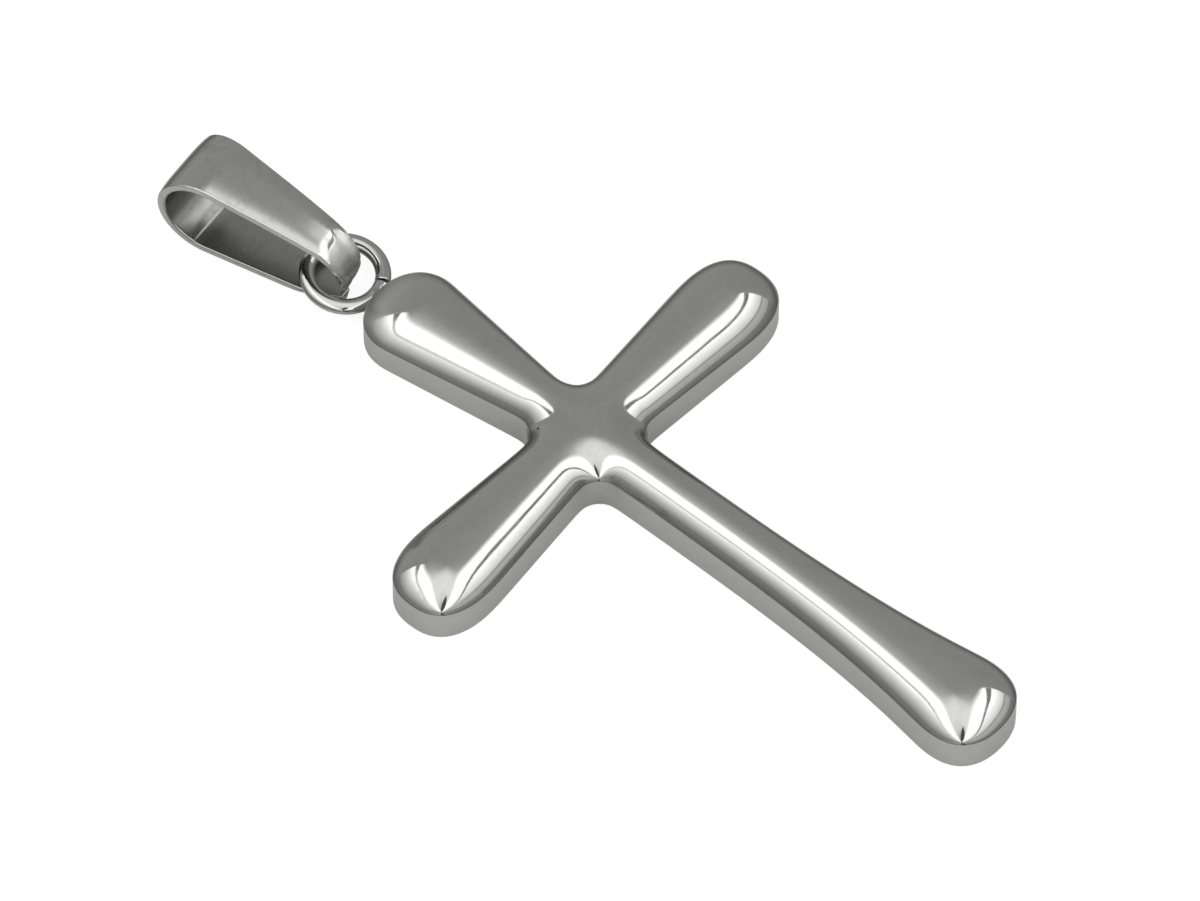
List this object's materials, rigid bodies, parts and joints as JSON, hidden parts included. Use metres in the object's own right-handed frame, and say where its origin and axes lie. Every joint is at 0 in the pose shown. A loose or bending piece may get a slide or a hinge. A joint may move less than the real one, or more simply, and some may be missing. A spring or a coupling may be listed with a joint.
{
  "type": "cross pendant",
  "caption": "Domed steel cross pendant with flared round ends, a jump ring soldered to its top and a tapered fold over bail.",
  "frame": {"origin": "on the flat back, under the point where the middles of the arms cross", "axes": "+Y up the top arm to the bail, +X along the right arm as seen from the front, +Z out of the domed front"},
  "size_m": [0.0298, 0.0585, 0.006],
  "materials": {
    "polished_steel": "mirror polished, with fine rubbing marks"
  },
  "bodies": {
    "root": {"cross": "polished_steel", "bail": "polished_steel"}
  },
  "joints": []
}
